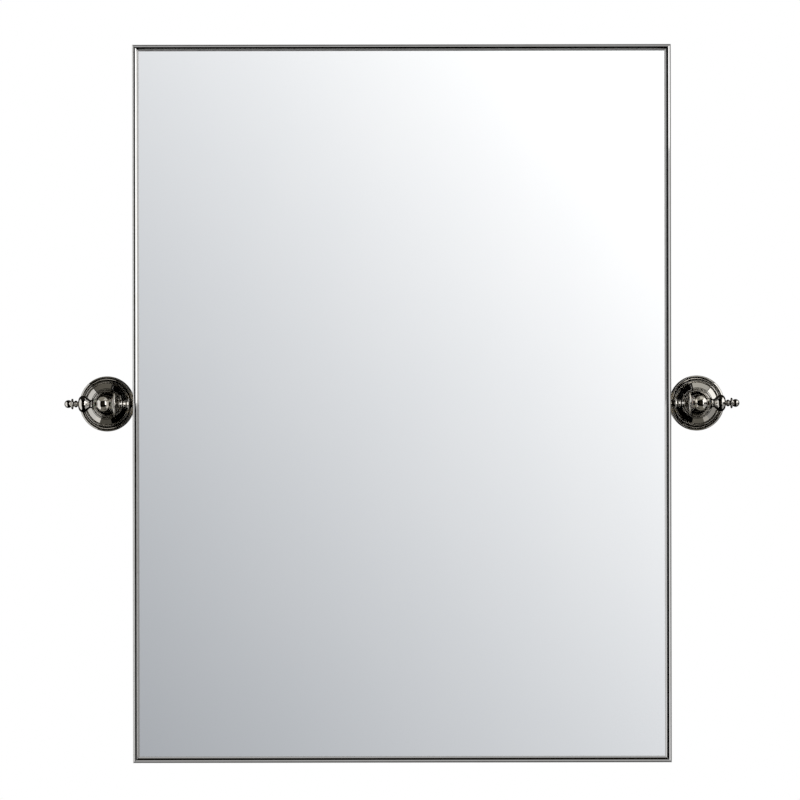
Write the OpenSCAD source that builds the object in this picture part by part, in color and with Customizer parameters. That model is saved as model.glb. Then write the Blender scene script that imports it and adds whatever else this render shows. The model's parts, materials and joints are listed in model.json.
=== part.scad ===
// Pivot wall mirror: a framed pane that tilts between two wall posts.
// The origin is on the wall, midway between the posts, at pivot height.
// +X is the viewer's right, +Z is up, and the room lies towards -Y.

/* [Mirror frame] */
// Overall width of the frame
frame_w = 609.6; // [450:0.1:900]
// Overall height of the frame
frame_h = 812.8; // [500:0.1:1200]
// Depth of the frame, front to back
frame_depth = 20; // [19:0.5:26]
// Width of the frame's face
face_w = 7.4; // [6.8:0.1:8]
// Radius of the half-round along the outer edge of the face
round_r = 2.9; // [2:0.1:3.1]
// How far the flat inner fillet lies behind the half-round's front
fillet_set = 1.8; // [1:0.1:2.4]
// Thickness of the front lip, half-round included
lip_t = 3.2; // [3:0.1:4]
// Thickness of the outer wall of each rail
side_t = 1.6; // [1.2:0.1:2]
// Thickness of the rear lip
rear_t = 1.6; // [1.6:0.1:2.4]

/* [Glass and back] */
// Thickness of the mirror glass
pane_t = 4; // [3:0.1:5]
// Gap between the glass edge and the outer wall
pane_gap = 0.9; // [0.5:0.1:1.5]
// Thickness of the foam strips
foam_t = 1; // [0.6:0.1:2]
// Width of the foam strips
foam_w = 8; // [4:0.5:14]
// Gap where two foam strips meet
foam_joint = 0.5; // [0.2:0.1:2]
// Thickness of the backing board
board_t = 3; // [2:0.1:4]

/* [Corner keys] */
// Length of each leg of a corner key
key_leg = 45; // [38:1:80]
// Air between the backing board and a corner key
key_air = 1.2; // [0.5:0.1:2]
// How far a key stops short of the rail's inner edge
key_short = 0.4; // [0.2:0.1:0.6]
// Distance of the key screws from the frame's corner
key_screw_in = 30; // [15:1:34]

/* [Frame screws] */
// Shank radius
screw_r = 1.5; // [1.2:0.1:1.6]
// Head radius
screw_head_r = 2.5; // [2.2:0.1:2.5]
// Height of the countersunk head
screw_head_h = 1.4; // [1:0.1:1.5]
// Length of the shank beyond the rear lip
screw_bite = 4.6; // [3:0.1:5]
// Radial clearance of a screw in its hole
screw_slip = 0.1; // [0.05:0.05:0.2]
// Radius of the hexagon socket, over its corners
screw_socket_r = 1.05; // [0.8:0.05:1.15]

/* [Spring clips] */
// Thickness of the spring steel
clip_t = 0.6; // [0.4:0.1:1]
// Width of a clip
clip_w = 4.4; // [3:0.1:4.8]
// Radius of the bow
clip_r = 32; // [20:1:50]
// Distance of the clips from the middle of a rail
clip_out = 150; // [80:1:170]

/* [Pivot blocks] */
// Height of a pivot block
block_h = 50; // [42:1:80]
// Width of a pivot block, inwards from the outer wall
block_w = 18; // [16.5:0.5:30]
// Air between a pivot block and the glass
block_air = 0.3; // [0.2:0.1:0.6]
// Gap between a pivot block and the notch in the board
notch_gap = 0.5; // [0.3:0.1:2]
// Height of the block screws above and below the pivot
block_screw_z = 17; // [10:1:18]

/* [Pivot line] */
// Distance of the pivot line from the wall
standoff = 60; // [54:0.5:90]
// Distance of the pivot line behind the frame's front
setback = 11.5; // [11.2:0.1:13]
// Radius of the pivot rod
rod_r = 3; // [2.5:0.1:3.2]
// Length of rod held in the pivot block
rod_bite = 15; // [8:0.5:16]
// Length of rod inside the finial
rod_grip = 14; // [8:0.5:15]
// Radial running clearance of the rod
rod_fit = 0.05; // [0.02:0.01:0.1]
// Gap between faces that turn on each other
face_gap = 0.05; // [0.02:0.01:0.2]

/* [Beaded collar] */
// Length of the collar, from the frame to the shoulder disc
collar_len = 18.2; // [17.8:0.1:30]
// Radius of the collar's plain neck
collar_r = 3.9; // [3.8:0.1:4.2]
// Distance from the frame to the flange
flange_at = 4.5; // [1:0.1:5]
// Width of the flange
flange_len = 2.4; // [1.5:0.1:3]
// Radius of the flange
flange_r = 6.8; // [5.5:0.1:9]
// Distance from the frame to the first bead
bead1_at = 8; // [7.6:0.1:8.2]
// Width of the first bead
bead1_len = 3.4; // [2:0.1:3.5]
// Radius of the first bead
bead1_r = 4.9; // [4.6:0.1:6]
// Distance from the frame to the second bead
bead2_at = 11.8; // [11.7:0.1:12.2]
// Width of the second bead
bead2_len = 5; // [3:0.1:5.4]
// Radius of the second bead
bead2_r = 4.6; // [4.3:0.1:6]

/* [Shoulder disc] */
// Thickness at the middle
disc_t = 5.6; // [4:0.1:8]
// Thickness of the rounded rim
disc_rim_t = 3; // [2:0.1:3.8]
// Radius of the disc
disc_r = 13.6; // [10:0.1:18]

/* [Washers] */
// Radius of both washers
washer_r = 6.2; // [5:0.1:8]
// Thickness of the inner washer
inner_washer_t = 1; // [0.5:0.1:2]
// Thickness of the outer washer
outer_washer_t = 0.8; // [0.5:0.1:2]
// Radial clearance of a washer on the rod
washer_fit = 0.1; // [0.05:0.01:0.2]

/* [Ball hub] */
// Radius of the ball
ball_r = 9; // [8:0.1:12]
// Length of the hub along the pivot line
hub_len = 18.7; // [18.2:0.1:26]
// Radius of the hub's end faces
hub_face_r = 5.6; // [5:0.1:7]
// Wall of the bush in the hub
bush_t = 1.2; // [0.8:0.1:1.4]
// Radius of the hub's neck towards the wall
hub_neck_r = 5; // [4.4:0.1:7]
// Distance from the pivot line back to the end of that neck
hub_neck_out = 11.5; // [10.5:0.1:16]

/* [Finial] */
// Width of the foot's rim
foot_len = 1.1; // [0.8:0.1:2]
// Radius of the foot
foot_r = 6.6; // [6:0.1:8]
// Length of the hollow flare after the foot
flare_len = 2.6; // [1.5:0.1:4]
// Radius of the neck
neck_r = 4.7; // [4.2:0.1:5.2]
// Length of the neck
neck_len = 0.8; // [0.4:0.1:3]
// Length of the vase, from the neck to the top of its dome
vase_len = 13; // [11.5:0.1:16]
// Greatest radius of the vase
vase_r = 9.6; // [8:0.1:12]
// Radius of the vase's rounding
vase_round = 5.6; // [4:0.1:6]
// Angle below the vase's widest place at which its cone meets the rounding
vase_low_angle = 37; // [25:1:45]
// Radius of the stem past the vase
stem_r = 2.8; // [2:0.1:3.2]
// Gap between the vase and the bead, and between bead and ring
stem_gap = 0.9; // [0.3:0.1:1.5]
// Width of the bead
tip_bead_len = 4; // [3:0.1:5]
// Radius of the bead
tip_bead_r = 3.9; // [3.4:0.1:5]
// Width of the ring
ring_len = 2.2; // [1.5:0.1:3]
// Radius of the ring
ring_r = 6; // [5:0.1:8]
// Radius of the end ball
tip_ball_r = 4.5; // [3.5:0.1:6]
// How far the end ball is sunk into the ring
tip_ball_sink = 1.1; // [0.6:0.1:2]

/* [Rosette] */
// Radius at the wall
rosette_r = 31.75; // [31:0.25:40]
// Radius of the rounded rim
rim_round = 2.45; // [1.8:0.05:2.6]
// Height of the rim below its rounding
rim_h = 2.8; // [2.6:0.1:5]
// Width of each groove beside the small bead
groove_w = 0.5; // [0.3:0.1:1]
// Radius of the small bead's section
small_bead = 0.95; // [0.6:0.05:1.2]
// Height of the small bead's middle above the rim's foot
small_bead_h = 5.1; // [4.6:0.1:6]
// Width of the sloping band
band_w = 6; // [4:0.1:6.4]
// Rise of the sloping band
band_h = 4.4; // [3:0.1:8]
// Radius of the section of the two inner beads
inner_bead = 1.15; // [0.8:0.05:1.3]
// Step up from one inner bead to the next
bead_step = 1.5; // [1:0.1:3]

/* [Wall bracket] */
// Radius of the bracket
bracket_r = 20; // [17.5:0.1:20.5]
// Thickness of the bracket
bracket_t = 5; // [4.4:0.1:5.2]
// Gap between the bracket and the rosette
bracket_gap = 0.3; // [0.2:0.05:0.6]
// Distance between the two wall screws of a bracket
wall_hole_pitch = 25; // [22:0.5:25]
// Radius of a wall screw hole
wall_hole_r = 2.25; // [1.8:0.05:2.6]
// Radius of its countersink
wall_sink_r = 4.2; // [3.6:0.1:4.4]
// Radius of the opening for the post screw's head
bracket_bore_r = 5.4; // [5.2:0.1:6]
// Depth of the set screw's groove in the bracket's edge
edge_groove = 0.8; // [0.4:0.1:1.2]
// Height of the set screw above the wall
set_screw_h = 2; // [1.9:0.05:2.1]
// Radius of the set screw
set_screw_r = 1.5; // [1:0.1:1.6]
// Length of the set screw
set_screw_len = 10; // [8:0.5:10.5]
// Radius of its hexagon socket, over the corners
set_socket_r = 0.9; // [0.6:0.05:0.95]
// Depth of that socket
set_socket_depth = 3; // [1.5:0.5:5]

/* [Post] */
// Width of the post's base ring
base_len = 3; // [2:0.1:5]
// Radius of the base ring
base_r = 9.6; // [8.5:0.1:10.5]
// Length of the hollow flare after the base ring
post_flare_len = 3; // [1.5:0.1:6]
// Radius of the shaft at its thick end
shaft_r = 5.6; // [5:0.1:7]
// Radius of the shaft at its thin end
shaft_tip_r = 4.4; // [4:0.1:5]
// Distance of the collar ring from the hub
post_ring_back = 2; // [1:0.1:6]
// Width of the collar ring
post_ring_len = 2.6; // [2:0.1:5]
// Radius of the collar ring
post_ring_r = 6.4; // [5.5:0.1:8]
// Radius of the tenon in the hub
tenon_r = 2.9; // [2:0.1:3.2]
// Length of the tenon
tenon_len = 5.4; // [3:0.1:5.4]
// Radial clearance of the tenon and of the screw threads
thread_fit = 0.03; // [0.01:0.01:0.1]
// Radius of the post screw
post_screw_r = 2.5; // [2:0.1:2.8]
// Radius of its head
post_head_r = 4.6; // [4:0.1:4.9]
// Height of its head
post_head_h = 3; // [2:0.1:3.6]
// Length of the screw inside the post
post_screw_bite = 10; // [6:0.5:16]
// Radius of its hexagon socket, over the corners
post_socket_r = 2.5; // [1.5:0.1:3]
// Depth of that socket
post_socket_depth = 1.8; // [1:0.1:1.9]

/* [Wall bumpers] */
// Radius of a bumper
bumper_r = 3; // [2:0.1:3.3]
// Thickness of a bumper
bumper_t = 2.5; // [1:0.1:4]
// Distance of a bumper from the top or bottom edge
bumper_in = 12; // [5:0.5:22]

/* [Hidden] */
$fn = 64;

// Which side a piece is on, as the sign of its X.
LEFT = -1;
RIGHT = 1;
// How far a cutting shape runs past the surface it cuts.
past = 1;

nickel = [0.74, 0.72, 0.68];
glass = [0.80, 0.84, 0.86];
dark_board = [0.10, 0.08, 0.07];
foam = [0.25, 0.25, 0.26];
steel = [0.55, 0.56, 0.58];
brass = [0.75, 0.62, 0.33];
nylon = [0.90, 0.89, 0.85];
clear_rubber = [0.70, 0.72, 0.72];

// Depths inside the frame, measured back from its front face.
pane_back = lip_t + pane_t;
foam_back = pane_back + foam_t;
board_back = foam_back + board_t;
channel_back = frame_depth - rear_t;
front_y = -standoff - setback;
edge_x = frame_w / 2;
edge_z = frame_h / 2;

// Glass and board share one outline.
pane_in = side_t + pane_gap;
pane_w = frame_w - 2 * pane_in;
pane_h = frame_h - 2 * pane_in;

// Frame screws stand in the middle of the rear lip beyond the outer wall.
screw_in = (side_t + face_w) / 2;
key_in = face_w - key_short;

// Places along the pivot line, measured out from the middle of the mirror.
collar_x = edge_x;
disc_x = collar_x + collar_len;
inner_washer_x = disc_x + disc_t;
hub_x = inner_washer_x + inner_washer_t + face_gap;
post_x = hub_x + hub_len / 2;
outer_washer_x = hub_x + hub_len + face_gap;
finial_x = outer_washer_x + outer_washer_t + face_gap;
rod_x = edge_x - side_t - rod_bite;
rod_end_x = finial_x + rod_grip;

// Heights from the wall towards the room.
rim_in_r = rosette_r - 2 * rim_round;
small_bead_r = rim_in_r - groove_w - small_bead;
band_r = small_bead_r - small_bead - groove_w;
band_top = small_bead_h + band_h;
bead_a_r = band_r - band_w - groove_w - inner_bead;
bead_a_h = band_top + inner_bead / 2;
bead_b_r = bead_a_r - 2 * inner_bead;
bead_b_h = bead_a_h + bead_step;
rosette_h = bead_b_h + inner_bead;
seat_r = base_r + groove_w;
cavity_h = bracket_t + bracket_gap;
hub_back = standoff - hub_neck_out;
post_ring_h = hub_back - post_ring_back - post_ring_len;

// ---- Placing ----------------------------------------------------------

// Turned pieces on the pivot line: their axis runs outwards from the mirror's middle.
module on_pivot(side) {
    translate([0, -standoff, 0]) rotate([0, side * 90, 0]) children();
}

// Turned pieces on the wall: their axis runs from the wall into the room.
module on_wall(side) {
    translate([side * post_x, 0, 0]) rotate([90, 0, 0]) children();
}

// A rail's own axes: X inwards from its outer face, Y back from its front, Z along it.
module as_stile(side) {
    mirror([side == RIGHT ? 1 : 0, 0, 0])
        translate([-edge_x, front_y, 0]) children();
}

module as_crossrail(top) {
    mirror([0, 0, top ? 1 : 0])
        translate([0, front_y, -edge_z]) rotate([0, -90, 0]) children();
}

// ---- Turned shapes ----------------------------------------------------

// Outline of a ring with a half-round rim, from height z to z + len.
module ring_outline(z, len, r) {
    translate([0, z]) square([r - len / 2, len]);
    intersection() {
        translate([r - len / 2, z + len / 2]) circle(r = len / 2);
        translate([0, z]) square([r, len]);
    }
}

// Outline of a plain stretch, from height z to z + len.
module plain_outline(z, len, r) {
    translate([0, z]) square([r, len]);
}

// Outline of a step of height h whose edge carries a round bead.
module step_outline(r, h, section) {
    square([r, h]);
    translate([r, h]) circle(r = section);
}

// Outline that narrows in a hollow curve from r1 at z to r2 at z + len.
module hollow_outline(z, len, r1, r2) {
    difference() {
        translate([0, z]) square([r1, len]);
        translate([r2 + len, z + len]) circle(r = len);
        translate([r2 + len, z]) square([max(r1, r2 + len), len + past]);
    }
}

module bored(r, from, to) {
    difference() {
        children();
        translate([0, 0, from - past]) cylinder(r = r, h = to - from + 2 * past);
    }
}

// ---- Frame ------------------------------------------------------------

// Section of a rail: half-round and fillet in front, outer wall, rear lip.
module rail_section() {
    intersection() {
        translate([round_r, round_r]) circle(r = round_r);
        square([2 * round_r, round_r]);
    }
    translate([0, round_r]) square([2 * round_r, lip_t - round_r]);
    translate([round_r, fillet_set]) square([face_w - round_r, lip_t - fillet_set]);
    translate([0, round_r]) square([side_t, frame_depth - round_r]);
    translate([0, channel_back]) square([face_w, rear_t]);
}

// One rail, mitred at both ends and centred on its middle.
module rail(len) {
    intersection() {
        translate([0, 0, -len / 2]) linear_extrude(len) rail_section();
        translate([0, frame_depth + past, 0]) rotate([90, 0, 0])
            linear_extrude(frame_depth + 2 * past)
                polygon([
                    [0, -len / 2], [face_w, face_w - len / 2],
                    [face_w, len / 2 - face_w], [0, len / 2]
                ]);
    }
}

// Countersunk screw driven forwards through the rear lip, or the hole for it.
module frame_screw(x, z, slip = 0) {
    translate([x, frame_depth, z]) rotate([90, 0, 0]) {
        cylinder(r1 = screw_head_r + slip, r2 = screw_r + slip, h = screw_head_h);
        cylinder(r = screw_r + slip, h = rear_t + screw_bite + (slip > 0 ? slip : 0));
    }
}

// The screw itself, with its hexagon socket, z along the rail.
module fitted_frame_screw(z) {
    difference() {
        frame_screw(screw_in, z);
        translate([screw_in, frame_depth + past, z]) rotate([90, 0, 0])
            cylinder(r = screw_socket_r, h = past + screw_head_h, $fn = 6);
    }
}

module crossrail(top) {
    color(nickel) as_crossrail(top) difference() {
        rail(frame_w);
        for (end = [-1, 1])
            frame_screw(screw_in, end * (edge_x - key_screw_in), screw_slip);
    }
}

module stile(side) {
    color(nickel) as_stile(side) difference() {
        rail(frame_h);
        for (end = [-1, 1]) {
            frame_screw(screw_in, end * (edge_z - key_screw_in), screw_slip);
            frame_screw(screw_in, end * block_screw_z, screw_slip);
        }
        translate([-past, setback, 0]) rotate([0, 90, 0])
            cylinder(r = rod_r + screw_slip, h = side_t + 2 * past);
    }
}

// L-shaped key that joins a stile to a crossrail, behind the board.
module corner_key(side, top) {
    key_front = board_back + key_air;
    color(steel) mirror([side == RIGHT ? 1 : 0, 0, 0]) mirror([0, 0, top ? 1 : 0])
        translate([-edge_x, front_y, -edge_z]) difference() {
            translate([side_t, key_front, side_t])
                cube([key_leg, channel_back - key_front, key_leg]);
            translate([key_in, key_front - past, key_in])
                cube([key_leg, frame_depth, key_leg]);
            frame_screw(screw_in, key_screw_in, thread_fit);
            frame_screw(key_screw_in, screw_in, thread_fit);
        }
}

module corner_key_screws() {
    color(steel) for (end = [-1, 1]) {
        for (side = [LEFT, RIGHT])
            as_stile(side) fitted_frame_screw(end * (edge_z - key_screw_in));
        for (top = [false, true])
            as_crossrail(top) fitted_frame_screw(end * (edge_x - key_screw_in));
    }
}

// ---- Glass and back ---------------------------------------------------

module mirror_pane() {
    color(glass) translate([-pane_w / 2, front_y + lip_t, -pane_h / 2])
        cube([pane_w, pane_t, pane_h]);
}

// Room for the pivot blocks, cut out of the board and the foam.
module block_notches() {
    notch_w = side_t + block_w + notch_gap;
    notch_h = block_h + 2 * notch_gap;
    for (side = [LEFT, RIGHT]) as_stile(side)
        translate([-past, 0, -notch_h / 2]) cube([notch_w + past, frame_depth, notch_h]);
}

module foam_strips() {
    side_strip = pane_h - 2 * (foam_w + foam_joint);
    color(foam) difference() {
        translate([0, front_y + pane_back, 0]) {
            for (end = [-1, 1])
                translate([-pane_w / 2, 0, end * (pane_h - foam_w) / 2 - foam_w / 2])
                    cube([pane_w, foam_t, foam_w]);
            for (side = [LEFT, RIGHT])
                translate([side * (pane_w - foam_w) / 2 - foam_w / 2, 0, -side_strip / 2])
                    cube([foam_w, foam_t, side_strip]);
        }
        block_notches();
    }
}

module backing_board() {
    color(dark_board) difference() {
        translate([-pane_w / 2, front_y + foam_back, -pane_h / 2])
            cube([pane_w, board_t, pane_h]);
        block_notches();
    }
}

// Bowed spring between the board and the rear lip, z along the rail.
module spring_clip(z) {
    clip_in = side_t + (face_w - side_t - clip_w) / 2;
    intersection() {
        translate([clip_in, board_back + clip_r, z]) rotate([0, 90, 0])
            difference() {
                cylinder(r = clip_r, h = clip_w);
                translate([0, 0, -past])
                    cylinder(r = clip_r - clip_t, h = clip_w + 2 * past);
            }
        translate([0, board_back, z - clip_r])
            cube([face_w, channel_back - board_back, 2 * clip_r]);
    }
}

module spring_clips() {
    color(steel) for (end = [-1, 1]) {
        for (side = [LEFT, RIGHT]) as_stile(side) spring_clip(end * clip_out);
        for (top = [false, true]) as_crossrail(top) spring_clip(end * clip_out);
    }
}

module wall_bumpers() {
    color(clear_rubber) for (side = [LEFT, RIGHT], end = [-1, 1])
        as_stile(side)
            translate([face_w / 2, frame_depth, end * (edge_z - bumper_in)])
                rotate([-90, 0, 0]) cylinder(r = bumper_r, h = bumper_t);
}

// ---- Pivot hardware on the mirror -------------------------------------

module pivot_block(side) {
    block_front = pane_back + block_air;
    color(brass) as_stile(side) difference() {
        translate([side_t, block_front, -block_h / 2])
            cube([block_w, channel_back - block_front, block_h]);
        for (end = [-1, 1]) frame_screw(screw_in, end * block_screw_z, thread_fit);
        translate([0, setback, 0]) rotate([0, 90, 0])
            cylinder(r = rod_r + thread_fit, h = side_t + rod_bite);
    }
}

module pivot_block_screws() {
    color(steel) for (side = [LEFT, RIGHT], end = [-1, 1])
        as_stile(side) fitted_frame_screw(end * block_screw_z);
}

module pivot_rod(side) {
    color(brass) on_pivot(side)
        translate([0, 0, rod_x]) cylinder(r = rod_r, h = rod_end_x - rod_x);
}

module beaded_collar(side) {
    color(nickel) on_pivot(side) translate([0, 0, collar_x])
        bored(rod_r + thread_fit, 0, collar_len) rotate_extrude() {
            plain_outline(0, collar_len, collar_r);
            ring_outline(flange_at, flange_len, flange_r);
            ring_outline(bead1_at, bead1_len, bead1_r);
            ring_outline(bead2_at, bead2_len, bead2_r);
        }
}

// Disc with gently domed faces and a rounded rim.
module shoulder_disc(side) {
    rim_r = disc_r - disc_rim_t / 2;
    sag = (disc_t - disc_rim_t) / 2;
    dome_r = (rim_r * rim_r + sag * sag) / (2 * sag);
    color(nickel) on_pivot(side) translate([0, 0, disc_x])
        bored(rod_r + thread_fit, 0, disc_t) rotate_extrude() {
            intersection() {
                square([rim_r, disc_t]);
                translate([0, dome_r]) circle(r = dome_r, $fn = 256);
                translate([0, disc_t - dome_r]) circle(r = dome_r, $fn = 256);
            }
            translate([rim_r, disc_t / 2]) circle(r = disc_rim_t / 2);
            plain_outline(0, disc_t, collar_r);
        }
}

module washer(side, x, t) {
    color(nylon) on_pivot(side) translate([0, 0, x])
        bored(rod_r + washer_fit, 0, t) cylinder(r = washer_r, h = t);
}

// ---- Hub and finial ---------------------------------------------------

module ball_hub(side) {
    bush_r = rod_r + rod_fit + bush_t;
    color(nickel) difference() {
        union() {
            on_pivot(side) translate([0, 0, post_x]) sphere(r = ball_r);
            on_pivot(side) translate([0, 0, hub_x]) cylinder(r = hub_face_r, h = hub_len);
            on_wall(side) translate([0, 0, hub_back]) cylinder(r = hub_neck_r, h = hub_neck_out);
        }
        on_pivot(side) translate([0, 0, hub_x - past])
            cylinder(r = bush_r, h = hub_len + 2 * past);
        on_wall(side) translate([0, 0, hub_back - past])
            cylinder(r = tenon_r + thread_fit, h = tenon_len + past);
    }
}

module hub_bush(side) {
    color(brass) on_pivot(side) translate([0, 0, hub_x])
        bored(rod_r + rod_fit, 0, hub_len)
            cylinder(r = rod_r + rod_fit + bush_t, h = hub_len);
}

// Tension nut: foot, hollow flare, neck, vase, bead, ring and end ball.
module finial(side) {
    flare_z = foot_len;
    neck_z = flare_z + flare_len;
    vase_z = neck_z + neck_len;
    dome_z = vase_z + vase_len;
    bulb_z = dome_z - vase_round;
    shoulder_z = bulb_z - vase_round * sin(vase_low_angle);
    shoulder_r = vase_r - vase_round * (1 - cos(vase_low_angle));
    bead_z = dome_z + stem_gap;
    ring_z = bead_z + tip_bead_len + stem_gap;
    ball_z = ring_z + ring_len + tip_ball_r - tip_ball_sink;
    color(nickel) on_pivot(side) translate([0, 0, finial_x]) difference() {
        union() {
            rotate_extrude() {
                plain_outline(0, foot_len, foot_r);
                hollow_outline(flare_z, flare_len, foot_r, neck_r);
                plain_outline(flare_z, flare_len + neck_len, neck_r);
                polygon([
                    [0, vase_z], [neck_r, vase_z],
                    [shoulder_r, shoulder_z], [0, shoulder_z]
                ]);
                intersection() {
                    translate([vase_r - vase_round, bulb_z]) circle(r = vase_round);
                    translate([0, bulb_z - vase_round]) square([vase_r, 2 * vase_round]);
                }
                translate([0, shoulder_z]) square([vase_r - vase_round, dome_z - shoulder_z]);
                plain_outline(dome_z - past, ball_z - dome_z + past, stem_r);
                ring_outline(bead_z, tip_bead_len, tip_bead_r);
                ring_outline(ring_z, ring_len, ring_r);
            }
            translate([0, 0, ball_z]) sphere(r = tip_ball_r);
        }
        translate([0, 0, -past])
            cylinder(r = rod_r + rod_fit, h = past + rod_grip + past);
    }
}

// ---- Wall plate and post ----------------------------------------------

module rosette(side) {
    color(nickel) on_wall(side) difference() {
        rotate_extrude() {
            square([rosette_r, rim_h]);
            translate([rosette_r - rim_round, rim_h]) circle(r = rim_round);
            square([rim_in_r + groove_w, small_bead_h - small_bead / 2]);
            step_outline(small_bead_r, small_bead_h, small_bead);
            polygon([
                [0, small_bead_h], [band_r, small_bead_h],
                [band_r - band_w, band_top], [0, band_top]
            ]);
            step_outline(bead_a_r, bead_a_h, inner_bead);
            step_outline(bead_b_r, bead_b_h, inner_bead);
            square([seat_r, rosette_h]);
        }
        translate([0, 0, -past]) cylinder(r = bracket_r + bracket_gap, h = cavity_h + past);
        cylinder(r = post_screw_r + screw_slip, h = rosette_h + past);
        translate([0, 0, set_screw_h]) rotate([90, 0, 0])
            cylinder(r = set_screw_r + screw_slip, h = rosette_r + past);
    }
}

module wall_bracket(side) {
    groove_half = set_screw_r + screw_slip;
    color(steel) on_wall(side) difference() {
        cylinder(r = bracket_r, h = bracket_t);
        translate([0, 0, -past]) cylinder(r = bracket_bore_r, h = bracket_t + 2 * past);
        for (up = [-1, 1]) translate([0, up * wall_hole_pitch / 2, 0]) {
            translate([0, 0, -past]) cylinder(r = wall_hole_r, h = bracket_t + 2 * past);
            translate([0, 0, bracket_t - (wall_sink_r - wall_hole_r)])
                cylinder(r1 = wall_hole_r, r2 = wall_sink_r, h = wall_sink_r - wall_hole_r);
        }
        translate([0, 0, set_screw_h - groove_half]) difference() {
            cylinder(r = bracket_r + past, h = 2 * groove_half);
            cylinder(r = bracket_r - edge_groove, h = 2 * groove_half);
        }
    }
}

// Tapering post with a base ring, a ring near the hub and a tenon in the hub.
module post(side) {
    flare_h = rosette_h + base_len;
    color(nickel) on_wall(side) difference() {
        union() {
            rotate_extrude() {
                ring_outline(rosette_h, base_len, base_r);
                hollow_outline(flare_h, post_flare_len, base_r - base_len / 2, shaft_r);
                ring_outline(post_ring_h, post_ring_len, post_ring_r);
                plain_outline(post_ring_h, hub_back - post_ring_h, shaft_tip_r);
                plain_outline(post_ring_h, hub_back - post_ring_h + tenon_len, tenon_r);
            }
            translate([0, 0, flare_h])
                cylinder(r1 = shaft_r, r2 = shaft_tip_r, h = post_ring_h - flare_h);
        }
        translate([0, 0, rosette_h - past])
            cylinder(r = post_screw_r + thread_fit, h = post_screw_bite + 2 * past);
    }
}

module post_screws() {
    color(steel) for (side = [LEFT, RIGHT]) on_wall(side) difference() {
        union() {
            translate([0, 0, cavity_h - post_head_h]) cylinder(r = post_head_r, h = post_head_h);
            translate([0, 0, cavity_h])
                cylinder(r = post_screw_r, h = rosette_h - cavity_h + post_screw_bite);
        }
        translate([0, 0, cavity_h - post_head_h - past])
            cylinder(r = post_socket_r, h = past + post_socket_depth, $fn = 6);
    }
}

module rosette_set_screws() {
    color(steel) for (side = [LEFT, RIGHT]) on_wall(side)
        translate([0, edge_groove - bracket_r, set_screw_h]) rotate([90, 0, 0]) difference() {
            cylinder(r = set_screw_r, h = set_screw_len);
            translate([0, 0, set_screw_len - set_socket_depth])
                cylinder(r = set_socket_r, h = set_socket_depth + past, $fn = 6);
        }
}

// ---- The mirror -------------------------------------------------------

crossrail(true);  // top_rail
crossrail(false);  // bottom_rail
stile(LEFT);  // left_stile
stile(RIGHT);  // right_stile
corner_key(LEFT, true);  // top_left_corner_key
corner_key(RIGHT, true);  // top_right_corner_key
corner_key(LEFT, false);  // bottom_left_corner_key
corner_key(RIGHT, false);  // bottom_right_corner_key
corner_key_screws();
mirror_pane();
foam_strips();
backing_board();
spring_clips();
pivot_block(LEFT);  // left_pivot_block
pivot_block(RIGHT);  // right_pivot_block
pivot_block_screws();
pivot_rod(LEFT);  // left_pivot_rod
pivot_rod(RIGHT);  // right_pivot_rod
beaded_collar(LEFT);  // left_beaded_collar
beaded_collar(RIGHT);  // right_beaded_collar
shoulder_disc(LEFT);  // left_shoulder_disc
shoulder_disc(RIGHT);  // right_shoulder_disc
washer(LEFT, inner_washer_x, inner_washer_t);  // left_inner_washer
washer(RIGHT, inner_washer_x, inner_washer_t);  // right_inner_washer
wall_bumpers();
washer(LEFT, outer_washer_x, outer_washer_t);  // left_outer_washer
washer(RIGHT, outer_washer_x, outer_washer_t);  // right_outer_washer
finial(LEFT);  // left_finial
finial(RIGHT);  // right_finial
wall_bracket(LEFT);  // left_wall_bracket
wall_bracket(RIGHT);  // right_wall_bracket
rosette(LEFT);  // left_rosette
rosette(RIGHT);  // right_rosette
post(LEFT);  // left_post
post(RIGHT);  // right_post
post_screws();
rosette_set_screws();
ball_hub(LEFT);  // left_ball_hub
ball_hub(RIGHT);  // right_ball_hub
hub_bush(LEFT);  // left_hub_bush
hub_bush(RIGHT);  // right_hub_bush
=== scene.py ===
import json
import math
import bmesh
import bpy
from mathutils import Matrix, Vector


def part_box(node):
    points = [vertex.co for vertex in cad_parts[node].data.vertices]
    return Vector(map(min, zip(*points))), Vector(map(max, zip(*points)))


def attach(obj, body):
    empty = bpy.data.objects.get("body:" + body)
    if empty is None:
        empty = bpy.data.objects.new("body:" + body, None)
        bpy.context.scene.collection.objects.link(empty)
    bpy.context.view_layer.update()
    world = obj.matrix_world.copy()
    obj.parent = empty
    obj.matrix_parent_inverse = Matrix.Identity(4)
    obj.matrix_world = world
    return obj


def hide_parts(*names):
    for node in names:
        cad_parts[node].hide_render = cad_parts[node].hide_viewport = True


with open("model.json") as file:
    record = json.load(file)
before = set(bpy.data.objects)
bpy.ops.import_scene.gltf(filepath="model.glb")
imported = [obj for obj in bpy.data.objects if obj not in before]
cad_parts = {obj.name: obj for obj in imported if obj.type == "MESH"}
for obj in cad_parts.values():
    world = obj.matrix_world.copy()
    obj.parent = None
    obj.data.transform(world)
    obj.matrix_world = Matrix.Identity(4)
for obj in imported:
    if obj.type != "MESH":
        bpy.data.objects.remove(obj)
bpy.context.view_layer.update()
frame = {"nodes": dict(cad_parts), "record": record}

# Pivot wall mirror. Metres; the origin is on the wall, midway between the wall plates, at the
# height of the pivot line. +X is the viewer's right, +Z is up and the room is towards -Y.

MM = 0.001
SIDES = {"left": -1, "right": 1}

# ---- Driving sizes, in millimetres ----

# Rails: a half-round and a flat fillet in front, an outer wall, a lip behind.
HALF_ROUND = 2.9
FILLET_BACK = 1.8
LIP_BACK = 3.2
WALL = 1.6
RAIL_EASE = 0.22
MITRE_GAP = 0.035
MITRE_EASE = 0.09
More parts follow.
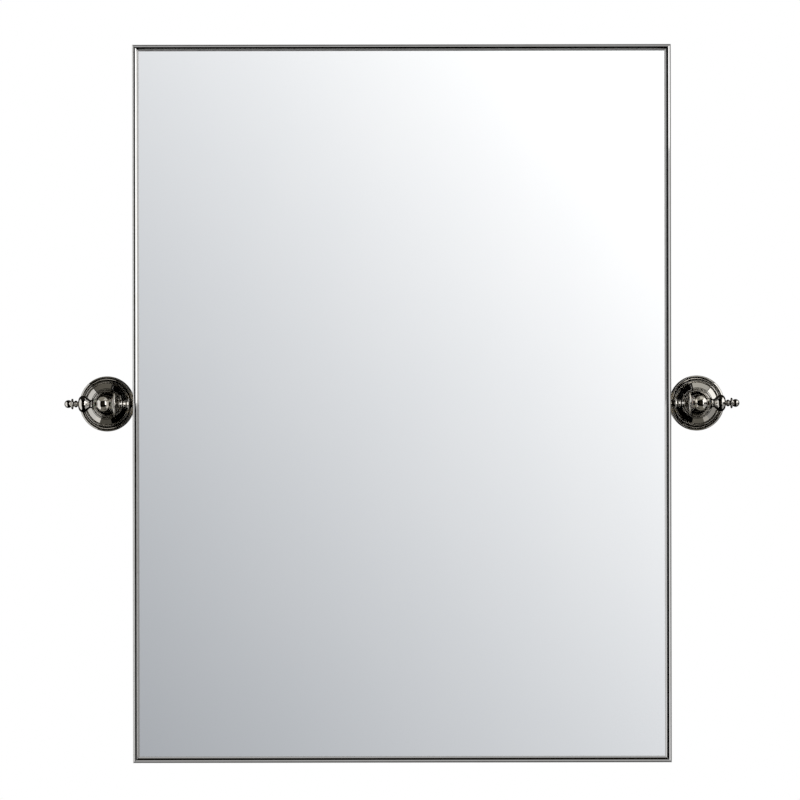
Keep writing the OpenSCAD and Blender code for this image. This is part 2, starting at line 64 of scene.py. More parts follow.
# Screws in the rear lip.
SCREW = 1.5
SCREW_HEAD = 2.5
SCREW_HEAD_DEEP = 1.4
SCREW_SLIP = 0.1
CORNER_SCREW_IN = 30
BLOCK_SCREW_UP = 17
# Pane and backing board.
GLASS_ARRIS = 0.5
BOARD_EASE = 0.3
NOTCH_GAP = 0.5
# Pivot line.
ROD = 3.0
THREAD_FIT = 0.03
RUN_FIT = 0.05
WASHER_FIT = 0.1
BUSH_WALL = 1.2
HUB_BORE = ROD + RUN_FIT + BUSH_WALL
# The set screw's hole in a rosette: how far it is from the wall, and where it starts below.
SET_SCREW = 1.6
SET_SCREW_OUT = 2.0
SET_SCREW_DOWN = 15
SET_SCREW_LONG = 20
# Bumpers.
BUMPER = 3.0
# Rounding and fineness of turned pieces, and how far a cutter reaches past what it cuts. A
# radius under TINY is on the axis.
EASE = 0.16
TURN_STEPS = 144
OVERCUT = 1
TINY = 1e-6


def middle(node):
    low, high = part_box(node)
    return (low + high) / 2


def size_mm(node):
    low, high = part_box(node)
    return (high - low) / MM


FRONT, BACK = (corner.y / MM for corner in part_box("left_stile"))
HALF_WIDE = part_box("right_stile")[1].x / MM
HALF_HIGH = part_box("top_rail")[1].z / MM
FRAME_DEEP = size_mm("left_stile").y
FACE = size_mm("left_stile").x
PIVOT = middle("left_finial").y / MM
POST = abs(middle("right_rosette").x) / MM

# ---- Camera ----

LENS, SENSOR = 155, 36
CAMERA_AT = (-0.0022, -3.9655, 0.004)
CAMERA_ROLL = 0.09


def make_camera():
    """The photograph's long lens, level with the pivot line and a hair out of plumb."""
    data = bpy.data.cameras.new("camera")
    data.lens, data.sensor_width = LENS, SENSOR
    camera = bpy.data.objects.new("camera", data)
    camera.location = CAMERA_AT
    camera.rotation_euler = (math.radians(90), math.radians(CAMERA_ROLL), 0)
    bpy.context.scene.collection.objects.link(camera)
    bpy.context.scene.camera = camera


make_camera()

# ---- Nodes ----


def add_node(tree, kind, links=None, **settings):
    """A node with its settings, and its inputs set to numbers or joined to other sockets."""
    node = tree.nodes.new(kind)
    for key, value in settings.items():
        setattr(node, key, value)
    for key, value in (links or {}).items():
        if isinstance(value, bpy.types.NodeSocket):
            tree.links.new(value, node.inputs[key])
        else:
            node.inputs[key].default_value = value
    return node


def result(tree, kind, links=None, **settings):
    """The first output of a new node."""
    return add_node(tree, kind, links, **settings).outputs[0]


def maths(tree, operation, first, second=0.0):
    return result(tree, "ShaderNodeMath", {0: first, 1: second}, operation=operation)


def add(tree, first, second):
    return maths(tree, "ADD", first, second)


def times(tree, first, second):
    return maths(tree, "MULTIPLY", first, second)


def ramp_between(tree, value, low, high, to_low=0.0, to_high=1.0):
    return result(tree, "ShaderNodeMapRange", {
        "Value": value, "From Min": low, "From Max": high, "To Min": to_low, "To Max": to_high,
    })


def object_place(tree):
    return add_node(tree, "ShaderNodeTexCoord").outputs["Object"]


def stretched(tree, scale):
    """The surface point times a scale along each axis, given as a vector or a socket."""
    place = object_place(tree)
    return result(tree, "ShaderNodeVectorMath", {0: place, 1: scale}, operation="MULTIPLY")


def noise(tree, scale, detail, roughness=0.5, place=None):
    return result(tree, "ShaderNodeTexNoise", {
        "Vector": place or object_place(tree), "Scale": scale, "Detail": detail,
        "Roughness": roughness,
    })


def blend_colour(tree, mask, under, over):
    """One colour or socket over another, by a mask."""
    mix = tree.nodes.new("ShaderNodeMix")
    mix.data_type = "RGBA"
    tree.links.new(mask, mix.inputs[0])
    for index, colour in ((6, under), (7, over)):
        if isinstance(colour, bpy.types.NodeSocket):
            tree.links.new(colour, mix.inputs[index])
        else:
            mix.inputs[index].default_value = (*colour, 1)
    return mix.outputs[2]


def bump(tree, height, distance):
    """A normal from a height; distance is the relief in metres at height 1."""
    return result(tree, "ShaderNodeBump", {"Height": height, "Distance": distance})

# ---- Shared surface effects ----


def effect(name, build, **takes):
    """A node group with named number inputs; build(group, given) makes its named outputs."""
    group = bpy.data.node_groups.new(name, "ShaderNodeTree")
    for label, value in takes.items():
        socket = group.interface.new_socket(label, in_out="INPUT", socket_type="NodeSocketFloat")
        socket.default_value = value
    made = build(group, group.nodes.new("NodeGroupInput").outputs)
    for label in made:
        group.interface.new_socket(label, in_out="OUTPUT", socket_type="NodeSocketFloat")
    out = group.nodes.new("NodeGroupOutput")
    for label, socket in made.items():
        group.links.new(socket, out.inputs[label])
    return group


def mottle(group, given):
    """Soft, uneven patches: a value between Low and High that drifts over the surface."""
    drift = noise(group, given["Scale"], given["Detail"], 0.55)
    return {"Value": ramp_between(group, drift, 0.3, 0.7, given["Low"], given["High"])}


def hairlines(group, given):
    """Fine straight scratches from polishing, along X and along Z."""
    short = given["Scale"]
    long = maths(group, "DIVIDE", short, given["Stretch"])
    lines = []
    for order in ((long, short, short), (short, short, long)):
        scale = result(group, "ShaderNodeCombineXYZ", dict(enumerate(order)))
        lines.append(noise(group, 1.0, 2.0, 0.6, stretched(group, scale)))
    height = maths(group, "MAXIMUM", *lines)
    least = maths(group, "SUBTRACT", 0.78, times(group, given["Cover"], 0.3))
    return {"Height": height, "Mask": ramp_between(group, height, least, 0.8)}


def tool_rings(group, given):
    """The fine rings that a lathe tool leaves along X; Pitch is in millimetres."""
    place = object_place(group)
    along = add_node(group, "ShaderNodeSeparateXYZ", {0: place}).outputs["X"]
    per_metre = maths(group, "DIVIDE", 2 * math.pi / MM, given["Pitch"])
    wave = maths(group, "SINE", times(group, along, per_metre))
    rough = times(group, noise(group, 700.0, 3.0, place=place), given["Uneven"])
    height = add(group, times(group, wave, 0.5), rough)
    return {"Height": height, "Tone": ramp_between(group, height, -0.5, 0.9)}


def settled_dust(group, given):
    """Dust that lies on what faces up, thin and patchy."""
    normal = add_node(group, "ShaderNodeNewGeometry").outputs["Normal"]
    up = add_node(group, "ShaderNodeSeparateXYZ", {0: normal}).outputs["Z"]
    facing_up = ramp_between(group, up, 0.2, 1.0)
    speckle = noise(group, given["Scale"], 6.0, 0.7)
    patches = times(group, facing_up, ramp_between(group, speckle, 0.35, 0.7))
    return {"Mask": times(group, patches, given["Amount"])}


def edge_wear(group, given):
    """Where edges and corners are rubbed, broken up by a noise."""
    sharp = add_node(group, "ShaderNodeNewGeometry").outputs["Pointiness"]
    rubbed = ramp_between(group, sharp, 0.52, 0.6)
    breaks = noise(group, given["Scale"], 4.0)
    patches = times(group, rubbed, ramp_between(group, breaks, 0.3, 0.6))
    return {"Mask": times(group, patches, given["Amount"])}


def fine_grain(group, given):
    """A fine even grain, as height and as a tone around the middle."""
    height = noise(group, given["Scale"], given["Detail"])
    return {"Height": height, "Tone": ramp_between(group, height, 0.3, 0.7)}


MOTTLE = effect("mottle", mottle, Scale=100, Detail=3, Low=0, High=1)
HAIRLINES = effect("hairlines", hairlines, Scale=900, Stretch=14, Cover=0.5)
TOOL_RINGS = effect("tool_rings", tool_rings, Pitch=0.25, Uneven=0.4)
SETTLED_DUST = effect("settled_dust", settled_dust, Amount=0.2, Scale=120)
EDGE_WEAR = effect("edge_wear", edge_wear, Amount=0.5, Scale=400)
GRAIN = effect("grain", fine_grain, Scale=2500, Detail=4)


def apply_effect(tree, group, **values):
    """The outputs of an effect, placed in a material with its own values."""
    node = add_node(tree, "ShaderNodeGroup", node_tree=group)
    for label, value in values.items():
        node.inputs[label].default_value = value
    return node.outputs


def mottled(tree, scale, detail, low=0, high=1):
    return apply_effect(tree, MOTTLE, Scale=scale, Detail=detail, Low=low, High=high)["Value"]


def dusty(tree, amount, scale):
    return apply_effect(tree, SETTLED_DUST, Amount=amount, Scale=scale)["Mask"]

# ---- Materials ----


def new_material(name, **values):
    """A material and its tree, with plain values set on the Principled shader's own sockets."""
    material = bpy.data.materials.new(name)
    material.use_nodes = True
    shader = material.node_tree.nodes["Principled BSDF"]
    for label, value in values.items():
        shader.inputs[label.replace("_", " ")].default_value = value
    return material, material.node_tree


def feed(material, colour, roughness, normal=None):
    """Joins sockets to the inputs of the material's Principled shader."""
    tree = material.node_tree
    takes = tree.nodes["Principled BSDF"].inputs
    tree.links.new(colour, takes["Base Color"])
    tree.links.new(roughness, takes["Roughness"])
    if normal:
        tree.links.new(normal, takes["Normal"])
    return material


def polished_nickel():
    """Nickel plate, buffed bright: warm grey, faint haze and hairlines, a little dust on top."""
    material, tree = new_material("polished_nickel", Metallic=1.0)
    dust = dusty(tree, 0.05, 160)
    bright = blend_colour(tree, mottled(tree, 45, 4), (0.685, 0.665, 0.630), (0.650, 0.625, 0.580))
    lines = apply_effect(tree, HAIRLINES, Scale=2600, Stretch=18, Cover=0.5)
    scratched = add(tree, mottled(tree, 260, 5, 0.03, 0.05), times(tree, lines["Mask"], 0.03))
    relief = add(tree, mottled(tree, 140, 1), times(tree, lines["Height"], 0.05))
    return feed(
        material,
        blend_colour(tree, dust, bright, (0.75, 0.74, 0.71)),
        add(tree, scratched, times(tree, dust, 0.6)),
        bump(tree, relief, 0.000004),
    )


def silvered_glass():
    """The front of the pane: a clean mirror, hardly tinted, with a trace of wiping marks."""
    material, tree = new_material("silvered_glass", Metallic=1.0)
    tone = mottled(tree, 9, 3)
    wiped = apply_effect(tree, HAIRLINES, Scale=160, Stretch=9, Cover=0.4)["Mask"]
    return feed(
        material,
        blend_colour(tree, tone, (0.955, 0.962, 0.960), (0.945, 0.955, 0.955)),
        add(tree, 0.012, times(tree, wiped, 0.012)),
    )


def grained(name, grain_scale, grain_detail, tone_of, light, dark, rough, relief, **values):
    """Two colours by a tone, and a fine grain that drives roughness and relief.

    tone_of(tree, grain) gives the tone, and rough is the range of the roughness."""
    material, tree = new_material(name, **values)
    grain = apply_effect(tree, GRAIN, Scale=grain_scale, Detail=grain_detail)
    return feed(
        material,
        blend_colour(tree, tone_of(tree, grain), light, dark),
        ramp_between(tree, grain["Tone"], 0, 1, *rough),
        bump(tree, grain["Height"], relief),
    )


def ground_glass_edge():
    """The pane's ground edge: grey-green, matt and finely pitted."""
    return grained(
        "ground_glass_edge", 4200, 3, lambda tree, grain: grain["Tone"],
        (0.18, 0.27, 0.24), (0.36, 0.46, 0.42), (0.4, 0.65), 0.00005,
        IOR=1.5, Specular_IOR_Level=0.5,
    )


def backing_paint():
    """The dark paint that protects the silvering, with roller stipple."""
    return grained(
        "backing_paint", 1400, 2, lambda tree, grain: mottled(tree, 14, 4),
        (0.020, 0.016, 0.012), (0.034, 0.028, 0.021), (0.38, 0.5), 0.00008,
    )


def moulded_nylon():
    """Off-white nylon, faintly cloudy, with the mould's soft texture."""
    return grained(
        "moulded_nylon", 3000, 2, lambda tree, grain: mottled(tree, 300, 3),
        (0.80, 0.78, 0.72), (0.72, 0.70, 0.63), (0.34, 0.48), 0.00003,
        Subsurface_Weight=0.15, Subsurface_Scale=0.001,
    )


def painted_hardboard():
    """Brown-black board: fibres in the surface, the press screen's weave, scuffs and dust."""
    material, tree = new_material("painted_hardboard")
    fibres = noise(tree, 1.0, 5.0, 0.65, stretched(tree, (260, 260, 900)))
    axes = add_node(tree, "ShaderNodeSeparateXYZ", {0: object_place(tree)})
    wire = 2 * math.pi / (1.6 * MM)
    across, upward = (maths(tree, "SINE", times(tree, axes.outputs[i], wire)) for i in "XZ")
    weave = times(tree, times(tree, across, upward), 0.5)
    base = blend_colour(tree, mottled(tree, 7, 5), (0.060, 0.047, 0.038), (0.105, 0.083, 0.066))
    shown = ramp_between(tree, fibres, 0.55, 0.75, 0, 0.6)
    with_fibres = blend_colour(tree, shown, base, (0.19, 0.145, 0.105))
    scuffs = apply_effect(tree, HAIRLINES, Scale=90, Stretch=12, Cover=0.7)["Mask"]
    scuffed = blend_colour(tree, times(tree, scuffs, 0.14), with_fibres, (0.24, 0.20, 0.16))
    return feed(
        material,
        blend_colour(tree, dusty(tree, 0.5, 90), scuffed, (0.42, 0.40, 0.37)),
        ramp_between(tree, fibres, 0.3, 0.7, 0.5, 0.72),
        bump(tree, add(tree, times(tree, fibres, 0.7), weave), 0.00007),
    )


def closed_cell_foam():
    """Grey foam tape: small closed cells that show as dimples."""
    material, tree = new_material("closed_cell_foam")
    cells = result(
        tree, "ShaderNodeTexVoronoi", {"Vector": object_place(tree), "Scale": 2400.0}, feature="F1",
    )
    tone = apply_effect(tree, GRAIN, Scale=900, Detail=4)["Tone"]
    return feed(
        material,
        blend_colour(tree, tone, (0.045, 0.045, 0.048), (0.085, 0.085, 0.09)),
        ramp_between(tree, cells, 0, 0.7, 0.72, 0.92),
        bump(tree, cells, 0.00012),
    )


def plated_steel(name, light, dark, low, high, wear, bare):
    """Plated or blued steel: a drifting tone, brushed hairlines, rubbed edges and dust."""
    material, tree = new_material(name, Metallic=1.0)
    plated = blend_colour(tree, mottled(tree, 120, 4), light, dark)
    rubbed = apply_effect(tree, EDGE_WEAR, Amount=wear, Scale=500)["Mask"]
    worn = blend_colour(tree, rubbed, plated, (bare, bare, bare))
    dust = dusty(tree, 0.25, 200)
    height = apply_effect(tree, HAIRLINES, Scale=1700, Stretch=20, Cover=0.8)["Height"]
    spread = ramp_between(tree, height, 0.35, 0.7, low, high)
    return feed(
        material,
        blend_colour(tree, dust, worn, (0.40, 0.39, 0.37)),
        add(tree, spread, times(tree, dust, 0.4)),
        bump(tree, height, 0.00002),
    )


def turned_metal(name, light, dark, low, high, pitch, pores):
    """Brass or bronze from the lathe: tool rings, a drifting tone and, in bronze, open pores."""
    material, tree = new_material(name, Metallic=1.0)
    rings = apply_effect(tree, TOOL_RINGS, Pitch=pitch, Uneven=0.5)
    grain = apply_effect(tree, GRAIN, Scale=3800, Detail=2)
    pitted = ramp_between(tree, grain["Tone"], 0.0, 0.35, pores, 0.0)
    base = blend_colour(tree, mottled(tree, 90, 4), light, dark)
    shade = tuple(channel * 0.35 for channel in dark)
    spread = ramp_between(tree, rings["Tone"], 0, 1, low, high)
    relief = maths(tree, "SUBTRACT", times(tree, rings["Height"], 0.4), pitted)
    return feed(
        material,
        blend_colour(tree, pitted, base, shade),
        add(tree, spread, times(tree, pitted, 0.3)),
        bump(tree, relief, 0.000025),
    )


def clear_rubber():
    """Soft clear bumper: see-through with a smooth skin and a little cloud."""
    material, tree = new_material("clear_rubber", Transmission_Weight=0.75, IOR=1.49)
    tone = mottled(tree, 500, 3)
    return feed(
        material,
        blend_colour(tree, tone, (0.86, 0.88, 0.88), (0.78, 0.80, 0.80)),
        ramp_between(tree, tone, 0, 1, 0.12, 0.22),
    )


NICKEL = polished_nickel()
SILVERED = silvered_glass()
GLASS_EDGE = ground_glass_edge()
BACK_PAINT = backing_paint()
HARDBOARD = painted_hardboard()
FOAM = closed_cell_foam()
NYLON = moulded_nylon()
CLEAR_RUBBER = clear_rubber()
# Name, light and dark tone, least and most roughness, wear and the grey of bare metal.
ZINC_STEEL = plated_steel(
    "zinc_plated_steel", (0.60, 0.61, 0.63), (0.47, 0.48, 0.51), 0.24, 0.4, 0.3, 0.70)
SPRING_STEEL = plated_steel(
    "blued_spring_steel", (0.36, 0.39, 0.45), (0.26, 0.28, 0.33), 0.2, 0.34, 0.6, 0.62)
BLACK_STEEL = plated_steel(
    "black_oxide_steel", (0.055, 0.055, 0.06), (0.035, 0.035, 0.04), 0.3, 0.5, 0.7, 0.38)
# Name, light and dark tone, least and most roughness, pitch of the tool rings and pores.
BRASS = turned_metal(
    "machined_brass", (0.80, 0.62, 0.30), (0.68, 0.50, 0.22), 0.16, 0.32, 0.28, 0.1)
BRONZE = turned_metal(
    "bearing_bronze", (0.58, 0.38, 0.20), (0.47, 0.29, 0.15), 0.3, 0.45, 0.22, 0.7)

# ---- Outlines of turned pieces ----
# An outline is a list of (radius, height along the axis) in millimetres, in order round the
# closed section. It may start and end on the axis.


def arc(radius_at, height_at, radius, start, end, steps=14):
    """Points on a circle round (radius_at, height_at), from one angle to another in degrees."""
    points = []
    for step in range(steps + 1):
        angle = math.radians(start + (end - start) * step / steps)
        points.append((radius_at + radius * math.cos(angle), height_at + radius * math.sin(angle)))
    return points


def ring(base, start, length, radius, steps=14):
    """A half-round ring that stands on a neck of radius base, from start over length."""
    half = length / 2
    centre = radius - half
    if centre >= base:
        bulge = arc(centre, start + half, half, -90, 90, steps)
        return [(base, start)] + bulge + [(base, start + length)]
    reach = math.degrees(math.acos((base - centre) / half))
    return arc(centre, start + half, half, -reach, reach, steps)


def eased(outline, ease=EASE, least_turn=40, steps=4):
    """The outline with its corners rounded, but by less than half of the shorter side."""
    most = 0.45
    points = []
    count = len(outline)
    for index, corner in enumerate(outline):
        here = Vector(corner)
        before, after = Vector(outline[index - 1]), Vector(outline[(index + 1) % count])
        inward, outward = before - here, after - here
        reach = min(inward.length, outward.length)
        turn = math.degrees(math.pi - inward.angle(outward)) if reach > TINY else 0
        if here.x < TINY or turn < least_turn:
            points.append(corner)
            continue
        cut = min(ease, reach * most)
        first, last = here + inward.normalized() * cut, here + outward.normalized() * cut
        for step in range(steps + 1):
            share = step / steps
            point = first.lerp(here, share).lerp(here.lerp(last, share), share)
            points.append((point.x, point.y))
    return points

# ---- Making and finishing pieces ----


def new_piece(name, mesh):
    piece = bpy.data.objects.new(name, mesh)
    bpy.context.scene.collection.objects.link(piece)
    return piece


def mesh_from(name, form):
    """A bmesh turned into a mesh with clean outward faces."""
    bmesh.ops.recalc_face_normals(form, faces=form.faces)
    mesh = bpy.data.meshes.new(name)
    form.to_mesh(mesh)
    form.free()
    return mesh


def turned(name, outline, place, steps=TURN_STEPS):
    """The outline spun round its axis; place(height, across, up) gives a point of the room."""
    form = bmesh.new()
    closed = outline[0][0] > TINY or outline[-1][0] > TINY
    rows = []
    for radius, height in outline:
        if radius <= TINY:
            rows.append([form.verts.new(Vector(place(height, 0, 0)) * MM)] * steps)
            continue
        row = []
        for step in range(steps):
            angle = 2 * math.pi * step / steps
            point = place(height, radius * math.cos(angle), radius * math.sin(angle))
            row.append(form.verts.new(Vector(point) * MM))
        rows.append(row)
    pairs = list(zip(rows, rows[1:])) + ([(rows[-1], rows[0])] if closed else [])
    for low, high in pairs:
        for step in range(steps):
            after = (step + 1) % steps
            corners = (low[step], low[after], high[after], high[step])
            form.faces.new(list(dict.fromkeys(corners)))
    return new_piece(name, mesh_from(name, form))


def plug(radius, start, end):
    """The outline of a plain round cutter."""
    return [(0, start), (radius, start), (radius, end), (0, end)]


def on_pivot(side, start):
    """Places a turned piece on the pivot line, start millimetres out from the mirror's middle."""
    return lambda height, across, up: (side * (start + height), PIVOT + across, up)


def on_wall(side):
    """Places a turned piece on the wall, its axis running out into the room."""
    return lambda height, across, up: (side * POST + across, -height, up)


def combine(piece, operation, *others):
    """Cuts other solids out of the piece or joins them to it as one skin, and removes them."""
    for other in others:
        step = piece.modifiers.new("combine", "BOOLEAN")
        step.operation, step.solver, step.object = operation, "EXACT", other
    depsgraph = bpy.context.evaluated_depsgraph_get()
    mesh = bpy.data.meshes.new_from_object(piece.evaluated_get(depsgraph))
    piece.modifiers.clear()
    piece.data = mesh
    for other in others:
        bpy.data.objects.remove(other)
    return piece


def smooth_faces(piece, crease=32):
    """Smooth shading that stays crisp where faces meet at more than the crease angle."""
    form = bmesh.new()
    form.from_mesh(piece.data)
    for face in form.faces:
        face.smooth = True
    for edge in form.edges:
        edge.smooth = len(edge.link_faces) != 2 or edge.calc_face_angle(0) < math.radians(crease)
    form.to_mesh(piece.data)
    form.free()
    weighted = piece.modifiers.new("even_shading", "WEIGHTED_NORMAL")
    weighted.keep_sharp = True
    weighted.weight = 60


MADE = {}


def finish_piece(piece, node, body, slot_name, *materials):
    """Gives a made piece its materials, its body and the CAD node that it stands for."""
    marks = [face.material_index for face in piece.data.polygons]
    piece.data.materials.clear()
    for material in materials:
        piece.data.materials.append(material)
    for face, mark in zip(piece.data.polygons, marks):
        face.material_index = mark
    smooth_faces(piece)
    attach(piece, body)
    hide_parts(node)
    MADE[node] = piece
    return piece

# ---- Rails ----


def rail_outline():
    """A rail's section in millimetres: inwards from the outer face, back from the front."""
    drop = HALF_ROUND - FILLET_BACK
    meet = math.degrees(math.asin(drop / HALF_ROUND))
    outline = arc(HALF_ROUND, HALF_ROUND, HALF_ROUND, 180, 360 - meet, 26)
    outline += [
        (FACE, FILLET_BACK), (FACE, LIP_BACK), (WALL, LIP_BACK),
        (WALL, FRAME_DEEP - WALL), (FACE, FRAME_DEEP - WALL), (FACE, FRAME_DEEP), (0, FRAME_DEEP),
    ]
    return eased(outline, RAIL_EASE, 50)


def shrunk(outline, by):
    """The closed outline drawn in by a small amount, at right angles to its sides."""
    area = sum(a[0] * b[1] - b[0] * a[1] for a, b in zip(outline, outline[1:] + outline[:1]))
    inward = 1 if area > 0 else -1
    points = []
    for index, corner in enumerate(outline):
        before, after = Vector(outline[index - 1]), Vector(outline[(index + 1) % len(outline)])
        along = (after - before).normalized()
        points.append((corner[0] - along.y * by * inward, corner[1] + along.x * by * inward))
    return points


def rail(name, half, place):
    """A rail with mitred ends that stop a hair short of the joint and are lightly eased."""
    outline = rail_outline()
    slim = shrunk(outline, MITRE_EASE * 0.6)
    end = half - MITRE_GAP
    stations = [(slim, -end), (outline, MITRE_EASE - end), (outline, end - MITRE_EASE), (slim, end)]
    form = bmesh.new()
    rows = []
    for section, z in stations:
        back = 1 if z < 0 else -1
        rows.append([form.verts.new(Vector(place(u, v, z + back * u)) * MM) for u, v in section])
    for low, high in zip(rows, rows[1:]):
        for index in range(len(low)):
            after = (index + 1) % len(low)
            form.faces.new((low[index], low[after], high[after], high[index]))
    form.faces.new(rows[0])
    form.faces.new(rows[-1])
    bmesh.ops.triangulate(form, faces=[f for f in form.faces if len(f.verts) > 4])
    return new_piece(name, mesh_from(name, form))


def along_stile(side):
    """Places rail coordinates (in, back, along) for the left or right stile."""
    return lambda u, v, z: (side * (HALF_WIDE - u), FRONT + v, z)


def along_crossrail(up):
    """Places rail coordinates for the top (up = 1) or bottom (up = -1) rail."""
    return lambda u, v, z: (z, FRONT + v, up * (HALF_HIGH - u))


def screw_hole(place, z):
    """A cutter for one countersunk hole in the middle of the rear lip."""
    wide, narrow = SCREW_HEAD + SCREW_SLIP, SCREW + SCREW_SLIP
    above, deep = 0.5, 3
    outline = [(0, -above), (wide, -above), (wide, 0)]
    outline += [(narrow, SCREW_HEAD_DEEP), (narrow, deep), (0, deep)]
    lip = (WALL + FACE) / 2
    return turned("hole", outline, lambda h, a, up: place(lip + a, FRAME_DEEP - h, z + up), 32)


def rod_hole(place):
    """A cutter for the pivot rod's hole through the stile's outer wall."""
    outline = plug(ROD + SCREW_SLIP, -OVERCUT, WALL + OVERCUT)
    back = PIVOT - FRONT
    return turned("hole", outline, lambda h, a, up: place(h, back + a, up), 48)


def make_rails():
    for label, side in SIDES.items():
        place = along_stile(side)
        stile = rail(f"{label}_stile_rail", HALF_HIGH, place)
        ends = HALF_HIGH - CORNER_SCREW_IN
        cutters = [screw_hole(place, z) for z in (-ends, -BLOCK_SCREW_UP, BLOCK_SCREW_UP, ends)]
        combine(stile, "DIFFERENCE", *cutters, rod_hole(place))
        finish_piece(stile, f"{label}_stile", "mirror", "polished_nickel", NICKEL)
    for label, up in (("top", 1), ("bottom", -1)):
        place = along_crossrail(up)
        crossrail = rail(f"{label}_crossrail", HALF_WIDE, place)
        ends = HALF_WIDE - CORNER_SCREW_IN
        combine(crossrail, "DIFFERENCE", screw_hole(place, -ends), screw_hole(place, ends))
        finish_piece(crossrail, f"{label}_rail", "mirror", "polished_nickel", NICKEL)


make_rails()

# ---- Pane and backing board ----


def break_edges(form, by):
    bmesh.ops.bevel(
        form, geom=list(form.edges), offset=by * MM, segments=2, profile=0.5, affect="EDGES")


def make_pane():
    """A slab with ground arrises: mirror in front, ground edges, painted back."""
    low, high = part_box("mirror_pane")
    form = bmesh.new()
    bmesh.ops.create_cube(form, size=1.0)
    for vertex in form.verts:
        vertex.co = [(low[i] + high[i]) / 2 + vertex.co[i] * (high[i] - low[i]) for i in range(3)]
    break_edges(form, GLASS_ARRIS)
    form.normal_update()
    square_on = 0.99
    for face in form.faces:
        y = face.normal.y
        face.material_index = 0 if y < -square_on else 2 if y > square_on else 1
    pane = new_piece("pane", mesh_from("pane", form))
    finish_piece(pane, "mirror_pane", "mirror", "mirror_glass", SILVERED, GLASS_EDGE, BACK_PAINT)


def make_board():
    """The backing board, notched round both pivot blocks, its edges just broken."""
    low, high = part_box("backing_board")
    block_low, block_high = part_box("right_pivot_block")
    gap = NOTCH_GAP * MM
    up, wide, notch = block_high.z + gap, high.x, block_low.x - gap
    right = [(wide, low.z), (wide, -up), (notch, -up), (notch, up), (wide, up), (wide, high.z)]
    corners = right + [(-x, z) for x, z in reversed(right)]
    form = bmesh.new()
    front = form.faces.new([form.verts.new((x, low.y, z)) for x, z in corners])
    raised = bmesh.ops.extrude_face_region(form, geom=[front])["geom"]
    for item in raised:
        if isinstance(item, bmesh.types.BMVert):
            item.co.y = high.y
    bmesh.ops.recalc_face_normals(form, faces=form.faces)
    break_edges(form, BOARD_EASE)
    board = new_piece("board", mesh_from("board", form))
    board.visible_glossy = False
    finish_piece(board, "backing_board", "mirror", "backing_board", HARDBOARD)


make_pane()
make_board()

# ---- Turned pieces on the pivot line ----


def start_of(node):
    """How far out from the middle a node starts along the pivot line, in millimetres."""
    low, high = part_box(node)
    return min(abs(low.x), abs(high.x)) / MM


def collar_outline(length):
    """A flange and two beads on a neck; each is given as its start, length and radius."""
    bore, neck = ROD + THREAD_FIT, 3.9
    flange, short_bead, long_bead = (4.5, 2.4, 6.8), (8.0, 3.4, 4.9), (11.8, 5.0, 4.6)
    return eased(
        [(bore, 0), (neck, 0)] + ring(neck, *flange) + ring(neck, *short_bead)
        + ring(neck, *long_bead, 18) + [(neck, length), (bore, length)]
    )


def disc_outline(thick, radius):
    """Two gently domed faces and a half-round rim."""
    bore, rim_thick, steps = ROD + THREAD_FIT, 3.0, 12
    rim = radius - rim_thick / 2
    sag = (thick - rim_thick) / 2
    dome = (rim * rim + sag * sag) / (2 * sag)
    face = [(bore + (rim - bore) * step / steps) for step in range(steps + 1)]
    near = [(r, dome - math.sqrt(dome * dome - r * r)) for r in face]
    far = [(r, thick - h) for r, h in reversed(near)]
    return eased(near[:-1] + arc(rim, thick / 2, rim_thick / 2, -90, 90, 18) + far[1:])


def washer_outline(thick, radius):
    bore = ROD + WASHER_FIT
    return eased([(bore, 0), (radius, 0), (radius, thick), (bore, thick)], 0.2)


def hub_outline(length, ball):
    """The ball with its two flat-ended shoulders, bored for the bush."""
    shoulder = 5.6
    reach = math.degrees(math.acos(shoulder / ball))
    return eased(
        [(HUB_BORE, 0), (shoulder, 0)] + arc(0, length / 2, ball, -reach, reach, 40)
        + [(shoulder, length), (HUB_BORE, length)], 0.3, 30,
    )


def neck_outline(end):
    """The hub's neck towards the wall, flared a little where it leaves the ball."""
    neck, socket, deep = 5.0, 2.93, 5.4
    start, foot, foot_end = 3.0, neck + 0.9, 5.2
    flare, flare_mid, flare_end = neck + 0.35, 5.7, 6.6
    return eased([
        (0, start), (foot, start), (foot, foot_end), (flare, flare_mid),
        (neck, flare_end), (neck, end), (socket, end), (socket, end - deep), (0, end - deep),
    ], 0.25)


def finial_outline():
    """Foot, hollow flare, neck, vase, bead, ring and end ball, round the blind bore."""
    bore, deep = ROD + RUN_FIT, 15.0
    foot, foot_len, flare, neck, neck_len = 6.6, 1.1, 2.6, 4.7, 0.8
    vase_len, vase, rounding, low = 13.0, 9.6, 5.6, 37
    stem, gap = 2.8, 0.9
    bead_len, bead, ring_len, ring_r = 4.0, 3.9, 2.2, 6.0
    ball, sunk = 4.5, 1.1
    flare_end = foot_len + flare
    hollow_start = 270 - math.degrees(math.asin((neck + flare - foot) / flare))
    vase_start = flare_end + neck_len
    dome = vase_start + vase_len
    bulb = dome - rounding
    bead_at = dome + gap
    ring_at = bead_at + bead_len + gap
    ball_at = ring_at + ring_len + ball - sunk
    leave = math.degrees(math.asin(-(ball - sunk) / ball))
    outline = [(0, deep), (bore, deep), (bore, 0), (foot, 0), (foot, foot_len)]
    outline += arc(neck + flare, flare_end, flare, hollow_start, 180, 12)
    outline += [(neck, vase_start)]
    outline += arc(vase - rounding, bulb, rounding, -low, 90, 30)
    outline += [(stem, dome)]
    outline += ring(stem, bead_at, bead_len, bead, 20)
    outline += ring(stem, ring_at, ring_len, ring_r, 16)
    outline += arc(0, ball_at, ball, leave, 90, 24)[:-1] + [(0, ball_at + ball)]
    return eased(outline, 0.2)


